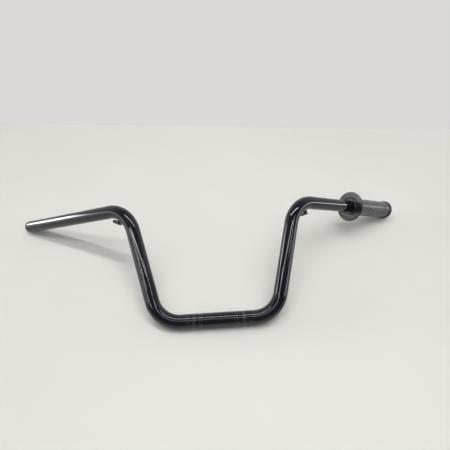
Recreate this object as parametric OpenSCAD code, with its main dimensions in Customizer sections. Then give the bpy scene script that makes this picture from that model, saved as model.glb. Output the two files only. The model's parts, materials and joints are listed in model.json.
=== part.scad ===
// Cruiser motorcycle handlebar: one bent steel tube, a flanged rubber grip on the clutch side
// and two push-in wiring clips. The throttle side is bare and open.
// It lies at rest on its centre section, its bare end and the rim of the grip.
// The origin is the centre of the clamp section. +X runs along it to the rider's left,
// +Y points to the handle ends and +Z is up.

/* [Tube] */
// Outside diameter of the tube
tube_d = 25.4; // [22.2:0.1:32]
// Wall thickness of the tube
tube_wall = 2.4; // [1.6:0.1:3.2]

/* [Bends] */
// Straight centre section between the two lower bends, where the risers clamp
centre_len = 128.5; // [90:0.5:260]
// Centreline radius of the lower bends
lower_bend_r = 50.8; // [40:0.1:90]
// Straight length of each upright between its bends
upright_len = 131.5; // [60:0.5:320]
// Centreline radius of the upper bends
upper_bend_r = 58; // [45:0.5:90]
// Straight length of each handle, from the upper bend to the end of the tube
handle_len = 246.5; // [210:0.5:320]
// Outward lean of the uprights from the vertical, degrees
upright_splay = 14.6; // [5:0.1:30]
// Backward sweep of the handles towards the rider, degrees
handle_sweep = 29.8; // [10:0.1:45]
// Upward tilt of the handles above the horizontal, degrees
handle_rise = 2.6; // [0:0.1:12]

/* [Grip] */
// Overall length of the grip, flange face to closed end
grip_len = 131; // [110:1:160]
// Rubber thickness over the tube
grip_rubber = 6; // [4:0.1:8]
// Rubber thickness that closes the end of the tube
grip_end_wall = 4; // [3:0.5:8]
// Radial gap between the tube and the grip's bore
grip_gap = 0.05; // [0.02:0.01:0.1]
// Outside diameter of the inboard flange
flange_d = 63.8; // [54:0.1:80]
// Thickness of the inboard flange
flange_t = 3.4; // [2:0.1:5]
// Length of the thick collar behind the flange
collar_len = 5.5; // [3:0.5:10]
// Height of the collar above the grip's body
collar_step = 1.8; // [0.5:0.1:4]
// Length of the bulging rim round the closed end
rim_len = 7; // [5.5:0.5:12]
// Height of the rim above the grip's body
rim_step = 2.1; // [1:0.1:2.6]

/* [Wiring clips] */
// Diameter of the clip holes drilled in the tube
clip_hole_d = 6.5; // [5:0.1:8]
// Radial gap between a clip's stud and its hole
clip_gap = 0.1; // [0.05:0.05:0.3]
// Distance of the left clip back from the outer end of its upper bend, along the centreline
left_clip_back = 16; // [0:1:40]
// Distance of the right clip back from the outer end of its upper bend, along the centreline
right_clip_back = 24; // [0:1:40]
// Turn of a clip round the tube from the inside of the bend towards the rider, degrees
clip_roll = 20; // [-30:1:45]
// Clear height between the tube and a clip's foot
clip_height = 7.5; // [6.5:0.5:14]
// Step from the hole's edge out to the side of a clip's stem, which seats on the tube
clip_shoulder = 0.55; // [0.4:0.05:1.5]
// Reach of a clip's long arm from the middle of the stem
foot_long = 15.5; // [12:0.5:24]
// Reach of a clip's short arm from the middle of the stem
foot_short = 7.5; // [6.5:0.5:13]
// Width of a clip's foot across the tube
foot_w = 8.5; // [8:0.5:13]
// Thickness of a clip's foot
foot_t = 2; // [1.6:0.1:4]
// Height of the lip that turns up at the outer tip of the foot
lip_h = 1.3; // [0.5:0.1:3]

/* [Hidden] */
$fn = 72;
eps = 1;                              // overshoot of cuts past a face
bend_draw = 0.02;                     // the tube's walls draw in this far round a bend
bend_lap = 0.5;                       // each straight runs this far into the bend beyond it
tube_r = tube_d / 2;
bore_r = tube_r - tube_wall;
body_r = tube_r + grip_rubber;
rim_r = body_r + rim_step;
rim_round = min(rim_step + 1, rim_len / 2 - 0.2); // rounding of the rim's outer edges
clip_stem_d = clip_hole_d + 2 * clip_shoulder;
stud_r = clip_hole_d / 2 - clip_gap;
barb_r = stud_r + 0.9;                // barbs spread wider than the hole, inside the tube
barb_h = 1.6;
barb_count = 3;
barb_taper = 0.4;                     // each barb narrows to this much less than the stud
// Depth of the first barb below the tube's surface, clear of the curved inner wall
barb_top = tube_r - sqrt(bore_r * bore_r - barb_r * barb_r) + 0.2;
lip_w = 2;                            // length of the lip along the foot

// Directions and corner points of the centreline, upright frame: +Y to the rider, +Z up
across = [1, 0, 0];
upright_dir = [sin(upright_splay), 0, cos(upright_splay)];
handle_dir = [cos(handle_rise) * cos(handle_sweep), cos(handle_rise) * sin(handle_sweep), sin(handle_rise)];

function unit(v) = v / norm(v);
// The direction at right angles to a, on the side of b
function square_to(a, b) = unit(b - (a * b) * a);
// Point and direction after turning an angle w of a bend that starts at p along a towards b
function bend_point(p, a, b, r, w) = p + r * ((1 - cos(w)) * square_to(a, b) + sin(w) * a);
function bend_dir(a, b, w) = cos(w) * a + sin(w) * square_to(a, b);

lower_turn = acos(across * upright_dir);
upper_turn = acos(upright_dir * handle_dir);
lower_start = [centre_len / 2, 0, 0];
lower_end = bend_point(lower_start, across, upright_dir, lower_bend_r, lower_turn);
upper_start = lower_end + upright_len * upright_dir;
upper_end = bend_point(upper_start, upright_dir, handle_dir, upper_bend_r, upper_turn);
handle_end = upper_end + handle_len * handle_dir;

// Resting attitude: tip about X, then lean about Y, until the three supports are level
function turned(v, tip, lean) =
    let (w = [v.x, v.y * cos(tip) - v.z * sin(tip), v.y * sin(tip) + v.z * cos(tip)])
    [w.x * cos(lean) + w.z * sin(lean), w.y, w.z * cos(lean) - w.x * sin(lean)];
// Lowest height of a ring of radius r and edge rounding e about p, whose axis is n
function ring_low(p, n, r, e) = p.z - (r - e) * sqrt(1 - n.z * n.z) - e;
function flipped(v) = [-v.x, v.y, v.z];
rim_centre = handle_end + (grip_end_wall - rim_round) * handle_dir;
function support_gap(p, n, r, e, tip, lean) =
    ring_low(turned(p, tip, lean), turned(n, tip, lean), r, e)
    - min([for (side = [-1, 1]) ring_low(turned(side * lower_start, tip, lean),
                                         turned(across, tip, lean), tube_r, 0)]);
function rest_angles(tip, lean, rounds) =
    rounds == 0 ? [tip, lean] :
    let (
        bare = support_gap(flipped(handle_end), flipped(handle_dir), tube_r, 0, tip, lean),
        grip = support_gap(rim_centre, handle_dir, rim_r, rim_round, tip, lean),
        reach = turned(handle_end, tip, lean).y
    )
    rest_angles(tip - (bare + grip) / 2 / reach * 180 / PI,
                lean + (grip - bare) / 2 / handle_end.x * 180 / PI, rounds - 1);
rest_pose = rest_angles(-56, 0, 12);

// Where a clip sits round the upper bend, as the angle turned before it
function clip_turn(back) = upper_turn - back / upper_bend_r * 180 / PI;

// Puts the children's own axes x, y, z and origin o where they belong
module placed(o, x, y, z) {
    multmatrix([[x.x, y.x, z.x, o.x], [x.y, y.y, z.y, o.y], [x.z, y.z, z.z, o.z], [0, 0, 0, 1]])
        children();
}

module at_rest() {
    rotate([rest_pose[0], rest_pose[1], 0])
        children();
}

// A straight of radius r along a, from height z1 to z2 above p, squared up with n
module straight(p, a, n, r, z1, z2) {
    placed(p, n, cross(a, n), a)
        translate([0, 0, z1])
            cylinder(r = r, h = z2 - z1);
}

// A bend of centreline radius bend_r from p, along a, turning towards b
module bend(p, a, b, r, bend_r) {
    n = square_to(a, b);
    placed(p + bend_r * n, -n, a, cross(a, n))
        rotate_extrude(angle = acos(a * b), $fn = 144)
            translate([bend_r, 0])
                circle(r = r - bend_draw, $fn = 72);
}

// Two bends, upright and handle of one side, as solids of radius r; the handle runs on by extra
module side_run(r, extra) {
    bend(lower_start, across, upright_dir, r, lower_bend_r);
    straight(lower_end, upright_dir, square_to(upright_dir, handle_dir), r,
             -bend_lap, upright_len + bend_lap);
    bend(upper_start, upright_dir, handle_dir, r, upper_bend_r);
    straight(upper_end, handle_dir, square_to(handle_dir, upright_dir), r,
             -bend_lap, handle_len + extra);
}

module whole_bar(r, extra) {
    half = centre_len / 2 + bend_lap;
    straight([0, 0, 0], across, [0, 0, 1], r, -half, half);
    side_run(r, extra);
    mirror([1, 0, 0])
        side_run(r, extra);
}

// A clip's own frame on the upper bend of the +X side: z away from the tube at its surface,
// x outboard along the tube
module at_clip(back) {
    turn = clip_turn(back);
    along = bend_dir(upright_dir, handle_dir, turn);
    inward = bend_dir(square_to(upright_dir, handle_dir), -upright_dir, turn);
    away = cos(clip_roll) * inward + sin(clip_roll) * cross(along, inward);
    seat = bend_point(upper_start, upright_dir, handle_dir, upper_bend_r, turn) + tube_r * away;
    placed(seat, along, cross(away, along), away)
        children();
}

module clip_hole() {
    translate([0, 0, -tube_wall - eps])
        cylinder(d = clip_hole_d, h = tube_wall + 2 * eps);
}

module bar_tube() {
    color("#17181b")
        at_rest()
            difference() {
                whole_bar(tube_r, 0);
                whole_bar(bore_r, eps);
                at_clip(left_clip_back)
                    clip_hole();
                mirror([1, 0, 0])
                    at_clip(right_clip_back)
                        clip_hole();
            }
}

// Half section of the grip: radius along x, length along y, with the end of the tube at y = 0
module grip_section() {
    flange_y = grip_end_wall - grip_len;
    difference() {
        union() {
            translate([0, flange_y])
                square([flange_d / 2 - flange_t / 2, flange_t]);
            translate([flange_d / 2 - flange_t / 2, flange_y + flange_t / 2])
                circle(d = flange_t, $fn = 36);
            translate([0, flange_y + flange_t / 2])
                square([body_r + collar_step, flange_t / 2 + collar_len]);
            translate([0, flange_y])
                square([body_r, grip_len - rim_round]);
            translate([0, grip_end_wall - rim_len])
                square([rim_r, rim_len - rim_round]);
            translate([0, grip_end_wall - 2 * rim_round])
                square([rim_r - rim_round, 2 * rim_round]);
            translate([rim_r - rim_round, grip_end_wall - rim_round])
                circle(r = rim_round, $fn = 48);
        }
        translate([0, flange_y - eps])
            square([tube_r + grip_gap, grip_len - grip_end_wall + eps]);
    }
}

module left_grip() {
    color("#3b3c3e")
        at_rest()
            placed(handle_end, square_to(handle_dir, upright_dir),
                   cross(handle_dir, square_to(handle_dir, upright_dir)), handle_dir)
                rotate_extrude($fn = 96)
                    grip_section();
}

// Outline of a clip's foot: a flat bar with round ends, the long arm towards +x
module foot_outline() {
    end_r = foot_w / 2;
    translate([end_r - foot_short, -end_r])
        square([foot_long + foot_short - foot_w, foot_w]);
    for (x = [end_r - foot_short, foot_long - end_r])
        translate([x, 0])
            circle(r = end_r, $fn = 48);
}

// The part of a clip that pushes through the hole, in the clip's own frame
module clip_stud() {
    depth = barb_top + barb_count * barb_h;
    translate([0, 0, -depth])
        cylinder(r = stud_r, h = depth + eps);
    for (i = [1 : barb_count])
        translate([0, 0, -barb_top - i * barb_h])
            cylinder(r1 = stud_r - barb_taper, r2 = barb_r, h = barb_h);
}

// Stem and foot, in the clip's own frame; the stem starts inside the tube and is cut to seat on it
module clip_hook() {
    translate([0, 0, -bore_r / 2])
        cylinder(d = clip_stem_d, h = bore_r / 2 + clip_height + foot_t / 2);
    translate([0, 0, clip_height])
        linear_extrude(foot_t)
            foot_outline();
    translate([0, 0, clip_height - lip_h])
        linear_extrude(lip_h + foot_t / 2)
            intersection() {
                foot_outline();
                translate([foot_long - lip_w, -foot_w / 2])
                    square([lip_w, foot_w]);
            }
}

// A whole clip, turned about its stud, seated on the upper bend of the +X side
module wire_clip(back, turn) {
    at_clip(back)
        clip_stud();
    difference() {
        at_clip(back)
            rotate([0, 0, turn])
                clip_hook();
        bend(upper_start, upright_dir, handle_dir, tube_r, upper_bend_r);
    }
}

// The left clip's long arm points inboard and the right clip's outboard: both are one moulding
module left_wire_clip() {
    color("#2c2b29")
        at_rest()
            wire_clip(left_clip_back, 180);
}

module right_wire_clip() {
    color("#2c2b29")
        at_rest()
            mirror([1, 0, 0])
                wire_clip(right_clip_back, 0);
}

bar_tube();
left_grip();
left_wire_clip();
right_wire_clip();
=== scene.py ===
"""Looks for a one-inch cruiser handlebar: a gloss black bent tube, its rubber grip and two wiring clips."""

import json
import math

import bpy
import numpy as np
from mathutils import Matrix, Vector


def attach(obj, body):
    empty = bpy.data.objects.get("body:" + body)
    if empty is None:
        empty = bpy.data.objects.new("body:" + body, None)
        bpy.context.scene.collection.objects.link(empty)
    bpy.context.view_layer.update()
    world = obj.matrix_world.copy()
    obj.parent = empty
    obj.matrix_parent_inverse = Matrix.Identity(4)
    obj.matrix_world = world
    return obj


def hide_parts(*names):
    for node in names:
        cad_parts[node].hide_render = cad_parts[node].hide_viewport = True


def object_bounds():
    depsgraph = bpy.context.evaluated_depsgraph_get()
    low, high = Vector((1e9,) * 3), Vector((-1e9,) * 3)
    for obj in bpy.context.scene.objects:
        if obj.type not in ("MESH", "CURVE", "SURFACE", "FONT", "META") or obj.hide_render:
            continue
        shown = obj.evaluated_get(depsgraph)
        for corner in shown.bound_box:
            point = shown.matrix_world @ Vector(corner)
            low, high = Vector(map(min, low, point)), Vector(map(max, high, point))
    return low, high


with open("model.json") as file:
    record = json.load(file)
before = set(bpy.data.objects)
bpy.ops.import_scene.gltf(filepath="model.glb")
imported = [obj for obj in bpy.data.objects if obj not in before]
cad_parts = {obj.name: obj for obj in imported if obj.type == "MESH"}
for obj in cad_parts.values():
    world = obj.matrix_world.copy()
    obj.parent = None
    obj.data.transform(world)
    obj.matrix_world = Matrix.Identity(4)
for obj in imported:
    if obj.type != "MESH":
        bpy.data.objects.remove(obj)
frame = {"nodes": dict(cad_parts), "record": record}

cad_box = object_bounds()
MM = 0.001
MOUNTS = {mount["name"]: mount for mount in frame["record"]["mounts"]}

# Driving sizes of the CAD part, in millimetres and degrees
TUBE_R = MOUNTS["throttle_side_tube"]["dims"]["r_mm"]
BORE_R = MOUNTS["throttle_side_bore"]["dims"]["r_mm"]
CENTRE_LEN = MOUNTS["riser_clamp_seat"]["dims"]["length_mm"]
LOWER_BEND_R = 50.8
UPRIGHT_LEN = 131.5
UPPER_BEND_R = 58
HANDLE_LEN = 246.5
UPRIGHT_SPLAY = math.radians(14.6)
HANDLE_SWEEP = math.radians(29.8)
HANDLE_RISE = math.radians(2.6)
GRIP_LEN = 131
GRIP_END_WALL = 4
GRIP_GAP = 0.05
BODY_R = TUBE_R + 6
FLANGE_R = 31.9
FLANGE_T = 3.4
COLLAR_LEN = 5.5
COLLAR_STEP = 1.8
RIM_LEN = 7
RIM_STEP = 2.1


# ---------------------------------------------------------------- the bar's centreline

def unit(v):
    return v / np.linalg.norm(v)


def square_to(a, b):
    """The direction at right angles to a, on the side of b."""
    return unit(b - (a @ b) * a)


def axes_of(a, b):
    c = square_to(a, b)
    return np.column_stack([a, c, np.cross(a, c)])


ACROSS = np.array([1.0, 0.0, 0.0])
FLIP = np.array([-1.0, 1.0, 1.0])
UPRIGHT_DIR = np.array([math.sin(UPRIGHT_SPLAY), 0, math.cos(UPRIGHT_SPLAY)])
HANDLE_DIR = np.array([
    math.cos(HANDLE_RISE) * math.cos(HANDLE_SWEEP),
    math.cos(HANDLE_RISE) * math.sin(HANDLE_SWEEP),
    math.sin(HANDLE_RISE),
])
# The bar is worked out upright, then turned to lie as the CAD part does; two of its mounts tell how
POSE = (
    axes_of(unit(np.array(MOUNTS["riser_clamp_seat"]["axis"])),
            unit(np.array(MOUNTS["throttle_side_tube"]["axis"])))
    @ axes_of(ACROSS, HANDLE_DIR * FLIP).T
)


def half_centreline(spread=6.0, bend_step=math.radians(2.5)):
    """Stations (distance, point, direction) from the bar's middle to its +X end, upright."""
    stations = []
    place, distance = np.zeros(3), 0.0

    def straight(direction, length):
        nonlocal place, distance
        count = max(1, round(length / spread))
        for i in range(count):
            step = length * i / count
            stations.append((distance + step, place + step * direction, direction))
        place = place + length * direction
        distance += length

    def bend(a, b, radius):
        nonlocal place, distance
        turn = math.acos(a @ b)
        side = square_to(a, b)
        count = math.ceil(turn / bend_step)
        for i in range(count):
            w = turn * i / count
            point = place + radius * ((1 - math.cos(w)) * side + math.sin(w) * a)
            stations.append((distance + radius * w, point, math.cos(w) * a + math.sin(w) * side))
        place = place + radius * ((1 - math.cos(turn)) * side + math.sin(turn) * a)
        distance += radius * turn

    straight(ACROSS, CENTRE_LEN / 2)
    bend(ACROSS, UPRIGHT_DIR, LOWER_BEND_R)
    straight(UPRIGHT_DIR, UPRIGHT_LEN)
    bend(UPRIGHT_DIR, HANDLE_DIR, UPPER_BEND_R)
    straight(HANDLE_DIR, HANDLE_LEN)
    stations.append((distance, place, HANDLE_DIR))
    return stations


def centreline():
    """Distances, points and frames of the whole bar at rest, from its throttle end to its clutch end."""
    half = half_centreline()
    whole = [(-s, p * FLIP, -t * FLIP) for s, p, t in reversed(half[1:])] + half
    distances = np.array([s for s, p, t in whole])
    points = np.array([POSE @ p for s, p, t in whole])
    tangents = np.array([POSE @ t for s, p, t in whole])
    middle = len(half) - 1
    sides = np.zeros_like(points)
    sides[middle] = square_to(tangents[middle], np.array([0, 0, 1.0]))
    for i in range(middle + 1, len(whole)):
        sides[i] = square_to(tangents[i], sides[i - 1])
    for i in range(middle - 1, -1, -1):
        sides[i] = square_to(tangents[i], sides[i + 1])
    return distances, points, tangents, sides


DISTANCES, POINTS, TANGENTS, SIDES = centreline()
BAR_END = DISTANCES[-1]


def along_bar(s):
    """Point, direction and side direction of the centreline at distance s, past its ends too."""
    inside = min(max(s, -BAR_END), BAR_END)
    point = np.array([np.interp(inside, DISTANCES, POINTS[:, k]) for k in range(3)])
    tangent = unit(np.array([np.interp(inside, DISTANCES, TANGENTS[:, k]) for k in range(3)]))
    side = square_to(tangent, np.array([np.interp(inside, DISTANCES, SIDES[:, k]) for k in range(3)]))
    return point + (s - inside) * tangent, tangent, side


# ---------------------------------------------------------------- meshes

def ring_mesh(name, profile, segments, closed, radius_at=None):
    """A tube-like piece: each profile entry is (distance along the bar, radius).

    The attribute "unbent" holds every point's place on the bar as if it were straight, and
    "sunk" how far the tread draws the point in below its profile.
    """
    verts, unbent, sunk, faces = [], [], [], []
    angles = np.arange(segments) * 2 * math.pi / segments
    rings = []
    for s, r in profile:
        point, tangent, side = along_bar(s)
        other = np.cross(tangent, side)
        if r < 1e-6:
            rings.append([len(verts)])
            verts.append(point)
            unbent.append((s, 0, 0))
            sunk.append(0)
            continue
        radii = np.full(segments, r) if radius_at is None else radius_at(s, r, angles)
        rings.append(list(range(len(verts), len(verts) + segments)))
        outward = np.cos(angles)[:, None] * side + np.sin(angles)[:, None] * other
        verts += list(point + radii[:, None] * outward)
        unbent += [(s, a, b) for a, b in zip(radii * np.cos(angles), radii * np.sin(angles))]
        sunk += list(r - radii)
    pairs = list(zip(rings, rings[1:]))
    if closed:
        pairs.append((rings[-1], rings[0]))
    for a, b in pairs:
        for i in range(segments):
            j = (i + 1) % segments
            if len(a) == 1:
                faces.append((a[0], b[j], b[i]))
            elif len(b) == 1:
                faces.append((a[i], a[j], b[0]))
            else:
                faces.append((a[i], a[j], b[j], b[i]))
    mesh = bpy.data.meshes.new(name)
    mesh.from_pydata([tuple(v * MM) for v in verts], [], faces)
    place = mesh.attributes.new("unbent", "FLOAT_VECTOR", "POINT")
    place.data.foreach_set("vector", (np.array(unbent) * MM).astype(np.float32).ravel())
    drawn = mesh.attributes.new("sunk", "FLOAT", "POINT")
    drawn.data.foreach_set("value", np.array(sunk, dtype=np.float32))
    mesh.update()
    mesh.shade_smooth()
    piece = bpy.data.objects.new(name, mesh)
    bpy.context.scene.collection.objects.link(piece)
    return piece


def arc(centre, radius, start, end, steps):
    """Points of an arc in (distance, radius) coordinates, angles in degrees."""
    found = []
    for i in range(steps + 1):
        w = math.radians(start + (end - start) * i / steps)
        found.append((centre[0] + radius * math.cos(w), centre[1] + radius * math.sin(w)))
    return found


def spread_between(a, b, step):
    """Points from a to b, both left out, no further apart than step."""
    count = math.ceil(math.dist(a, b) / step)
    run, rise = b[0] - a[0], b[1] - a[1]
    return [(a[0] + run * i / count, a[1] + rise * i / count) for i in range(1, count)]


def baked(piece):
    """Replaces a piece's mesh by what its modifiers make of it."""
    graph = bpy.context.evaluated_depsgraph_get()
    mesh = bpy.data.meshes.new_from_object(
        piece.evaluated_get(graph), preserve_all_data_layers=True, depsgraph=graph)
    piece.modifiers.clear()
    piece.data = mesh


def make_tube():
    """The tube's section runs out along its outside, over the end's lips and back through its bore."""
    outer_lip, inner_lip = 0.7, 0.4
    wall_end, segments = BAR_END - 1, 72
    profile = [(s, TUBE_R) for s in DISTANCES if abs(s) < wall_end]
    profile += arc((BAR_END - outer_lip, TUBE_R - outer_lip), outer_lip, 90, 0, 5)
    profile += arc((BAR_END - inner_lip, BORE_R + inner_lip), inner_lip, 0, -90, 4)
    profile += [(s, BORE_R) for s in DISTANCES[::-1] if abs(s) < wall_end]
    profile += arc((inner_lip - BAR_END, BORE_R + inner_lip), inner_lip, 270, 180, 4)
    profile += arc((outer_lip - BAR_END, TUBE_R - outer_lip), outer_lip, 180, 90, 5)
    return ring_mesh("bent_tube", profile, segments, True)


# How far apart the points of the grip's section are
BORE_STEP, WALL_STEP, FINE_STEP, TREAD_STEP, END_STEP = 12, 2.2, 1.2, 1.3, 1.8

# Ring groove in the flange's face: (distance from its middle, share of its depth)
FLANGE_RING_R, FLANGE_RING_DEPTH = 17.5, 0.9
FLANGE_RING = [(-1.6, 0), (-1.1, 0.6), (-0.4, 1), (0.4, 1), (1.1, 0.6), (1.6, 0)]

# Ring groove and dimple in the closed end: (depth, radius)
END_RING_R = 13
END_RING = [(0.35, 12.6), (0.5, 12), (0.35, 11.4), (0, 11)]
END_DIMPLE_R = 3.6
END_DIMPLE = [(0.2, 3.2), (0.3, 2.6), (0.3, 1.2), (0.3, 0)]

# The tread: fine ribs along the grip, crossed by shallow spiral grooves
RIBS, RIB_DEPTH, RIB_POWER, SEGMENTS_PER_RIB = 84, 0.035, 1.5, 6
GROOVES, GROOVE_SPACING, GROOVE_DEPTH, GROOVE_WIDTH = 12, 17.0, 0.5, 0.22
TREAD_FADE = 2.5


def make_grip():
    """The grip's section runs from the middle of its inner end wall round to the middle of its outer end."""
    flange_s = BAR_END + GRIP_END_WALL - GRIP_LEN
    end_s = BAR_END + GRIP_END_WALL
    inner_r = TUBE_R + GRIP_GAP
    bead = FLANGE_T / 2
    back_s = flange_s + FLANGE_T
    collar_s = back_s + COLLAR_LEN
    collar_r = BODY_R + COLLAR_STEP
    rim_s = end_s - RIM_LEN
    rim_r = BODY_R + RIM_STEP
    ease, root, root_space, corner = 0.3, 0.6, 0.8, 1.2
    rim_corner = RIM_STEP + 1

    # Bore, its mouth and the flange's face
    profile = [(BAR_END, 0), (BAR_END, inner_r * 0.5), (BAR_END, inner_r - ease), (BAR_END - ease, inner_r)]
    profile += spread_between(profile[-1], (flange_s + root, inner_r), BORE_STEP)
    profile += arc((flange_s + root, inner_r + root), root, 270, 180, 4)
    profile += spread_between(profile[-1], (flange_s, FLANGE_RING_R + FLANGE_RING[0][0]), FINE_STEP)
    profile += [(flange_s + FLANGE_RING_DEPTH * share, FLANGE_RING_R + off) for off, share in FLANGE_RING]
    # Flange edge, its back and the collar
    profile += spread_between(profile[-1], (flange_s, FLANGE_R - bead), WALL_STEP)
    profile += arc((flange_s + bead, FLANGE_R - bead), bead, 180, 0, 12)
    profile += spread_between(profile[-1], (back_s, collar_r + corner), WALL_STEP)
    profile += arc((back_s + corner, collar_r + corner), corner, 180, 270, 5)
    profile += spread_between(profile[-1], (collar_s - corner, collar_r), FINE_STEP)
    profile += arc((collar_s - corner, collar_r - corner), corner, 90, 0, 5)
    profile += arc((collar_s + root, BODY_R + root), root, 180, 270, 3)
    # Body, rim and closed end
    body_from, body_to = collar_s + root_space, rim_s - root_space
    body = (body_from, BODY_R), (body_to, BODY_R)
    profile += [body[0]] + spread_between(*body, TREAD_STEP) + [body[1]]
    profile += arc((rim_s - root, BODY_R + root), root, 270, 360, 3)
    profile += arc((rim_s + corner, rim_r - corner), corner, 180, 90, 5)
    profile += spread_between(profile[-1], (end_s - rim_corner, rim_r), FINE_STEP)
    profile += arc((end_s - rim_corner, rim_r - rim_corner), rim_corner, 90, 0, 8)
    profile += spread_between(profile[-1], (end_s, END_RING_R), FINE_STEP)
    profile += [(end_s - depth, r) for depth, r in END_RING]
    profile += spread_between((end_s, END_RING[-1][1]), (end_s, END_DIMPLE_R), END_STEP)
    profile += [(end_s - depth, r) for depth, r in END_DIMPLE]

    def radius_at(s, r, angles):
        """The body's rings are ribbed and grooved, fading out at both its ends; the others are round."""
        into_body = min(max((s - body_from) / TREAD_FADE, 0), 1) * min(max((body_to - s) / TREAD_FADE, 0), 1)
        if into_body <= 0 or abs(r - BODY_R) > 0.01:
            return np.full(len(angles), r)
        rib = (0.5 + 0.5 * np.cos(RIBS * angles)) ** RIB_POWER
        turn = GROOVES * angles - 2 * math.pi * (s - body_from) / GROOVE_SPACING
        groove = np.exp(-((np.sin(turn / 2)) / GROOVE_WIDTH) ** 2)
        return r - into_body * (RIB_DEPTH * (1 - rib) * (1 - groove) + GROOVE_DEPTH * groove)

    return ring_mesh("ribbed_grip", profile, RIBS * SEGMENTS_PER_RIB, False, radius_at)


CLIP_VOXEL, CLIP_EASES = 0.22, 9


def make_clip(node, name):
    """The CAD clip remeshed finely and eased, so that its corners are round as a moulding's are."""
    piece = bpy.data.objects.new(name, frame["nodes"][node].data.copy())
    bpy.context.scene.collection.objects.link(piece)
    weld = piece.modifiers.new("weld", "WELD")
    weld.merge_threshold = 1e-6
    remesh = piece.modifiers.new("remesh", "REMESH")
    remesh.mode = "VOXEL"
    remesh.voxel_size = CLIP_VOXEL * MM
    remesh.use_smooth_shade = True
    ease = piece.modifiers.new("ease", "SMOOTH")
    ease.factor = 0.5
    ease.iterations = CLIP_EASES
    baked(piece)
    return piece


# ---------------------------------------------------------------- materials

class Nodes:
    """Short calls for one node tree."""

    def __init__(self, owner):
        owner.use_nodes = True
        self.tree = owner.node_tree
        self.tree.nodes.clear()

    def add(self, kind, inputs=None, **settings):
        node = self.tree.nodes.new("ShaderNode" + kind)
        for key, value in settings.items():
            setattr(node, key, value)
        for key, value in (inputs or {}).items():
            if isinstance(value, bpy.types.NodeSocket):
                self.tree.links.new(value, node.inputs[key])
            else:
                node.inputs[key].default_value = value
        return node

    def math(self, operation, *values, clamp=False):
        node = self.add("Math", dict(enumerate(values)), operation=operation, use_clamp=clamp)
        return node.outputs[0]

    def product(self, *values):
        found = values[0]
        for value in values[1:]:
            found = self.math("MULTIPLY", found, value)
        return found

    def step(self, value, start, end):
        """0 where value is at start, 1 where it is at end, smooth between them."""
        node = self.add("MapRange", {"Value": value, "From Min": start, "From Max": end},
                        interpolation_type="SMOOTHSTEP")
        return node.outputs["Result"]

    def stretched(self, place, scales):
        node = self.add("VectorMath", {0: place, 1: scales}, operation="MULTIPLY")
        return node.outputs[0]

    def noise(self, place, scale, detail=3.0, roughness=0.55):
        node = self.add("TexNoise", {"Vector": place, "Scale": scale, "Detail": detail,
                                     "Roughness": roughness})
        return node.outputs["Fac"]

    def cells(self, place, scale):
        node = self.add("TexVoronoi", {"Vector": place, "Scale": scale})
        return node.outputs["Distance"]

    def mix(self, amount, a, b):
        node = self.add("Mix", {0: amount, 6: a, 7: b}, data_type="RGBA")
        return node.outputs[2]

    def bump(self, height, distance):
        return self.add("Bump", {"Height": height, "Distance": distance, "Strength": 1.0}).outputs[0]


def new_material(name):
    material = bpy.data.materials.new(name)
    return material, Nodes(material)


def finish_material(n, inputs):
    surface = n.add("BsdfPrincipled", inputs)
    output = n.add("OutputMaterial")
    n.tree.links.new(surface.outputs[0], output.inputs["Surface"])


# Where clamps sat on the bar: distance from its middle, half width and strength
CLAMP_RINGS = [
    (-41.5, 2.6, 0.75), (-32.0, 1.3, 0.4), (-28.5, 1.5, 0.45), (28.0, 1.2, 0.3), (33.0, 1.5, 0.45),
    (44.0, 2.8, 0.75), (-450, 3.0, 0.3),
]
KNURL_FROM, KNURL_TO = 45, 64


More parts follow.
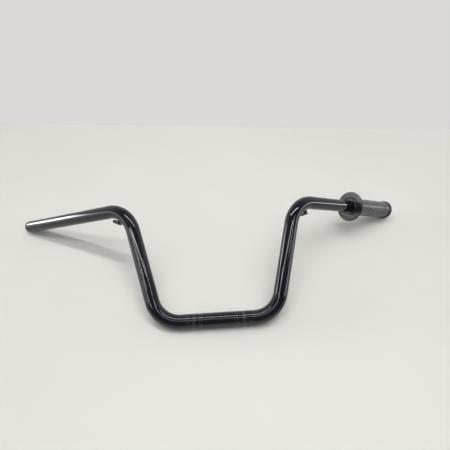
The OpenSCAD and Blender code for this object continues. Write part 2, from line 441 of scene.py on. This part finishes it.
def black_paint():
    """Gloss black over steel: a film of dust on top, clamp scuffs, a worn knurl, scratches and chips."""
    clean_paint, dusty_paint = (0.0038, 0.0042, 0.0095, 1), (0.38, 0.39, 0.45, 1)
    scratched, knurled, scuffed = (0.30, 0.31, 0.34, 1), (0.16, 0.16, 0.17, 1), (0.20, 0.20, 0.20, 1)
    chipped = (0.26, 0.25, 0.24, 1)
    material, n = new_material("gloss_black_paint")
    place = n.add("Attribute", attribute_name="unbent", attribute_type="GEOMETRY").outputs["Vector"]
    along = n.add("SeparateXYZ", {0: place}).outputs[0]
    away = n.math("ABSOLUTE", along)
    facing_up = n.add("SeparateXYZ", {0: n.add("NewGeometry").outputs["Normal"]}).outputs[2]

    # Scuffs are broken rings round the bar; the knurl is worn bright in patches
    broken = n.step(n.noise(n.stretched(place, (900, 260, 260)), 1.0, 4, 0.7), 0.40, 0.66)
    rings = 0.0
    for centre, half, strength in CLAMP_RINGS:
        off = n.math("ABSOLUTE", n.math("SUBTRACT", along, centre * MM))
        rings = n.math("ADD", n.product(n.step(off, half * MM, half * MM * 0.55), strength), rings)
    scuff = n.product(rings, broken)

    knurl_zone = n.product(n.step(away, (KNURL_FROM - 2) * MM, KNURL_FROM * MM),
                           n.step(away, (KNURL_TO + 3) * MM, KNURL_TO * MM))
    knurl = n.product(knurl_zone, n.step(n.cells(place, 620), 0.55, 0.25),
                      n.step(n.noise(place, 90, 2), 0.45, 0.62))

    # Scratches run along the bar; chips are small and gathered
    streaks = n.step(n.noise(n.stretched(place, (9, 520, 520)), 1.0, 3, 0.6), 0.60, 0.74)
    wear = n.step(n.noise(place, 26, 4, 0.6), 0.50, 0.68)
    scratches = n.product(streaks, wear)
    chips = n.product(n.step(n.cells(place, 75), 0.075, 0.03), n.step(n.noise(place, 18, 1), 0.53, 0.6))

    # Dust settles on what faces up, as a cloudy film and as specks
    film = n.step(n.noise(place, 34, 5, 0.65), 0.35, 0.75)
    specks = n.step(n.noise(place, 1500, 2, 0.5), 0.60, 0.75)
    settled = n.step(facing_up, -0.2, 0.9)
    dust = n.math("ADD", n.product(film, settled, 0.013), n.product(specks, settled, film, 0.06))
    dust = n.math("ADD", dust, 0.003)

    colour = n.mix(dust, clean_paint, dusty_paint)
    colour = n.mix(n.product(scratches, 0.12), colour, scratched)
    colour = n.mix(n.product(knurl, 0.22), colour, knurled)
    colour = n.mix(n.product(scuff, 0.55), colour, scuffed)
    colour = n.mix(chips, colour, chipped)

    rough = n.math("ADD", 0.05, n.product(dust, 0.6))
    rough = n.math("ADD", rough, n.product(scuff, 0.4))
    rough = n.math("ADD", rough, n.product(knurl, 0.3))
    rough = n.math("ADD", rough, n.product(scratches, 0.25))
    rough = n.math("ADD", rough, n.product(chips, 0.4), clamp=True)

    height = n.math("SUBTRACT", n.product(n.noise(place, 160, 2), 0.06), n.product(scuff, 0.8))
    height = n.math("SUBTRACT", height, n.product(knurl, 0.8))
    height = n.math("SUBTRACT", height, n.product(chips, 1.5))
    finish_material(n, {
        "Base Color": colour, "Roughness": rough, "IOR": 1.52,
        "Normal": n.bump(height, 0.00006),
    })
    return material


def grip_rubber():
    """Black rubber under grey dust; the grooves are painted darker, as painted shade in them."""
    clean_rubber, dusty_rubber = (0.010, 0.0105, 0.014, 1), (0.150, 0.150, 0.158, 1)
    material, n = new_material("dusty_grip_rubber")
    place = n.add("Attribute", attribute_name="unbent", attribute_type="GEOMETRY").outputs["Vector"]
    sunk = n.add("Attribute", attribute_name="sunk", attribute_type="GEOMETRY").outputs["Fac"]
    along, one, other = n.add("SeparateXYZ", {0: place}).outputs
    out = n.math("SQRT", n.math("ADD", n.product(one, one), n.product(other, other)))
    facing_up = n.add("SeparateXYZ", {0: n.add("NewGeometry").outputs["Normal"]}).outputs[2]
    mottle = n.noise(place, 60, 5, 0.65)
    fine = n.noise(place, 900, 3, 0.6)
    groove = n.step(sunk, 0.15, 0.45)
    flange_s = (BAR_END + GRIP_END_WALL - GRIP_LEN) * MM
    end_s = (BAR_END + GRIP_END_WALL) * MM

    # The body is dusty; the flange and the rim at the closed end are much cleaner, the flange's edge most
    on_rim = n.step(along, end_s - (RIM_LEN + 0.8) * MM, end_s - RIM_LEN * MM)
    on_flange = n.step(along, flange_s + (FLANGE_T + 0.6) * MM, flange_s + FLANGE_T * MM)
    flange_edge = n.product(on_flange, n.step(out, (FLANGE_R - 2.4) * MM, (FLANGE_R - 1.2) * MM))
    clean = n.math("ADD", n.product(on_rim, 0.85), n.product(on_flange, 0.86))
    clean = n.math("ADD", clean, n.product(flange_edge, 0.5), clamp=True)
    cloudy, settled = n.step(mottle, 0.3, 0.75), n.step(facing_up, -0.9, 0.9)
    dust = n.math("ADD", n.product(cloudy, 0.45), n.product(settled, 0.45))
    dust = n.product(dust, n.step(fine, 0.1, 0.6), n.math("SUBTRACT", 1.0, clean))
    # Painted shade: the grooves take less of the dust, so they show darker than the ribs.
    dust = n.product(dust, n.math("SUBTRACT", 1.0, n.product(groove, 0.8)))
    colour = n.mix(dust, clean_rubber, dusty_rubber)
    rough = n.math("ADD", 0.14, n.product(dust, 0.16))
    finish_material(n, {
        "Base Color": colour, "Roughness": rough, "IOR": 1.5,
        "Normal": n.bump(n.math("ADD", n.product(fine, 0.5), n.product(mottle, 1.5)), 0.00007),
    })
    return material


def clip_plastic():
    """Satin black plastic, mottled with dust, with a painted highlight: its sharp edges are painted pale."""
    clean_plastic, dust_and_highlight_plastic = (0.030, 0.029, 0.027, 1), (0.17, 0.165, 0.155, 1)
    material, n = new_material("satin_clip_plastic")
    place = n.add("TexCoord").outputs["Object"]
    mottle = n.noise(place, 240, 4, 0.6)
    grain = n.noise(place, 3000, 2)
    # Painted highlight: pale colour on the sharp edges, mixed in with the dust mottle.
    painted_edge_highlight = n.step(n.add("NewGeometry").outputs["Pointiness"], 0.50, 0.60)
    dust = n.math("ADD", n.product(n.step(mottle, 0.4, 0.8), 0.4), n.product(painted_edge_highlight, 0.3), clamp=True)
    colour = n.mix(dust, clean_plastic, dust_and_highlight_plastic)
    finish_material(n, {
        "Base Color": colour, "Roughness": n.math("ADD", 0.34, n.product(dust, 0.4)), "IOR": 1.5,
        "Normal": n.bump(grain, 0.00004),
    })
    return material


def floor_white():
    """Warm white with faint clouds, a little glossy."""
    darker, paler = (0.730, 0.708, 0.655, 1), (0.782, 0.776, 0.738, 1)
    material, n = new_material("pale_floor")
    place = n.add("TexCoord").outputs["Object"]
    cloudy = n.noise(place, 2.5, 4, 0.55)
    colour = n.mix(cloudy, darker, paler)
    finish_material(n, {
        "Base Color": colour, "Roughness": n.math("ADD", 0.5, n.product(cloudy, 0.1)), "IOR": 1.4,
        "Normal": n.bump(n.noise(place, 400, 3), 0.00003),
    })
    return material


# ---------------------------------------------------------------- pieces

paint, rubber, plastic = black_paint(), grip_rubber(), clip_plastic()


def seat(piece, node, material):
    """Gives a piece its material and puts it in the place of its CAD node."""
    piece.data.materials.clear()
    piece.data.materials.append(material)
    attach(piece, "root")
    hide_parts(node)


seat(make_tube(), "bar_tube", paint)
seat(make_grip(), "left_grip", rubber)
seat(make_clip("left_wire_clip", "left_clip"), "left_wire_clip", plastic)
seat(make_clip("right_wire_clip", "right_clip"), "right_wire_clip", plastic)


# ---------------------------------------------------------------- stage, light and camera

def make_floor():
    """A wide floor whose far edge is the foot of the room's pale wall, not quite square to the bar."""
    near, reach = 12.0, 14.0
    foot_left, foot_right = Vector((-0.720, 0.833)), Vector((0.847, 0.694))
    along = (foot_right - foot_left).normalized()
    middle = (foot_left + foot_right) / 2
    far = [middle - reach * along, middle + reach * along]
    corners = [(far[0].x, -near), (far[1].x, -near), (far[1].x, far[1].y), (far[0].x, far[0].y)]
    mesh = bpy.data.meshes.new("floor")
    mesh.from_pydata([(x, y, 0) for x, y in corners], [], [(0, 1, 2, 3)])
    floor = bpy.data.objects.new("floor", mesh)
    floor.location.z = cad_box[0].z
    mesh.materials.append(floor_white())
    bpy.context.scene.collection.objects.link(floor)


# Lamp rows on the ceiling, in units of its height above the bar; they run fore and aft
ROW_WIDTH, ROW_RADIANCE = 0.08, 30
LAMP_ROWS = [
    ((-1.70, -1.20), (-1.62, -0.35)), ((-1.25, -1.10), (-1.18, -0.35)), ((-0.86, -1.00), (-0.82, -0.30)),
    ((-0.53, -0.62), (-0.50, -0.25)), ((0.64, -0.52), (0.62, -0.12)), ((1.84, -1.20), (1.82, -0.45)),
]


def make_strip(name, start, end, width, radiance, in_gloss, ceiling=2.4):
    """A ceiling strip between two points given in units of the ceiling's height above the bar.

    A strip shows either in reflections only or as light on the floor and the pieces only.
    """
    a = Vector((start[0] * ceiling, start[1] * ceiling, ceiling))
    b = Vector((end[0] * ceiling, end[1] * ceiling, ceiling))
    run = b - a
    light = bpy.data.lights.new(name, "AREA")
    light.shape = "RECTANGLE"
    light.size, light.size_y = run.length, width
    light.energy = radiance * math.pi * run.length * width
    lamp = bpy.data.objects.new(name, light)
    heading = Matrix.Rotation(math.atan2(run.y, run.x), 4, "Z")
    lamp.matrix_world = Matrix.Translation((a + b) / 2) @ heading
    lamp.visible_glossy = in_gloss
    lamp.visible_diffuse = not in_gloss
    bpy.context.scene.collection.objects.link(lamp)


def make_world():
    """A pale wall behind the bar, low bright windows at both sides, dark overhead and on the near side.

    Looked at directly it is the same pale wall all round, so every view has a plain background. The rest
    only lights the bar and shows in its gloss.
    """
    wall_strength, dark_strength = 0.57, 0.13
    cool, neutral = (0.93, 0.96, 1.06, 1), (1.0, 0.99, 0.975, 1)
    world = bpy.data.worlds.new("room")
    bpy.context.scene.world = world
    n = Nodes(world)
    direction = n.add("TexCoord").outputs["Generated"]
    x, y, z = n.add("SeparateXYZ", {0: direction}).outputs
    wall = n.product(n.step(y, -0.15, 0.35), n.step(z, 0.90, 0.40), wall_strength)
    left_window = n.product(n.step(z, 0.140, 0.165), n.step(z, 0.285, 0.255), n.step(x, -0.84, -0.90),
                            n.math("ADD", n.product(n.step(y, -0.40, -0.32), 3.0),
                                   n.product(n.step(y, 0.02, 0.16), 15.0)))
    left_sill = n.product(n.step(z, 0.0, 0.02), n.step(z, 0.11, 0.08), n.step(x, -0.93, -0.97), 2.6)
    left_window = n.math("ADD", left_window, left_sill)
    right_window = n.product(n.step(z, 0.09, 0.13), n.step(z, 0.22, 0.19), n.step(x, 0.90, 0.93),
                             n.step(y, 0.16, 0.10), 9.0)
    windows_and_wall = n.math("ADD", wall, left_window)
    lit = n.math("ADD", windows_and_wall, n.math("ADD", right_window, dark_strength))
    seen = n.add("LightPath").outputs["Is Camera Ray"]
    unseen = n.math("SUBTRACT", 1.0, seen)
    strength = n.math("ADD", n.product(seen, wall_strength + dark_strength), n.product(unseen, lit))
    tint = n.mix(n.math("MAXIMUM", n.step(wall, 0.0, 0.3), seen), cool, neutral)
    back = n.add("Background", {"Color": tint, "Strength": strength})
    output = n.add("OutputWorld")
    n.tree.links.new(back.outputs[0], output.inputs["Surface"])


def make_camera():
    """The camera stands over the near side of the clamp section and looks down and away."""
    place = Vector((-14.33, -303.37, 503.09)) * MM
    yaw, pitch, roll = math.radians(4.58), math.radians(42.64), math.radians(0.67)
    data = bpy.data.cameras.new("camera")
    data.lens = 26.0
    data.sensor_width = 36.0
    data.clip_start = 0.02
    camera = bpy.data.objects.new("camera", data)
    camera.matrix_world = (
        Matrix.Translation(place) @ Matrix.Rotation(-yaw, 4, "Z")
        @ Matrix.Rotation(math.pi / 2 - pitch, 4, "X") @ Matrix.Rotation(roll, 4, "Z")
    )
    bpy.context.scene.collection.objects.link(camera)
    bpy.context.scene.camera = camera


make_floor()
make_world()
for number, (start, end) in enumerate(LAMP_ROWS):
    make_strip("row_%d" % number, start, end, ROW_WIDTH, ROW_RADIANCE, True)
make_strip("row_back", (-0.45, 0.33), (0.60, 0.20), 0.09, 34, True)
make_strip("row_near", (-0.50, -0.33), (0.45, -0.27), 0.07, 16, True)
# The two keys cast the shadows, and the fill softens them
make_strip("key_back", (-0.45, 0.39), (0.45, -0.02), 0.20, 16, False)
make_strip("key_near", (-0.5, 0.01), (0.9, -0.40), 0.20, 8, False)
make_strip("fill", (-1.0, -0.2), (1.0, -0.2), 4.0, 0.42, False)
make_camera()
bpy.context.scene.view_settings.view_transform = "Standard"
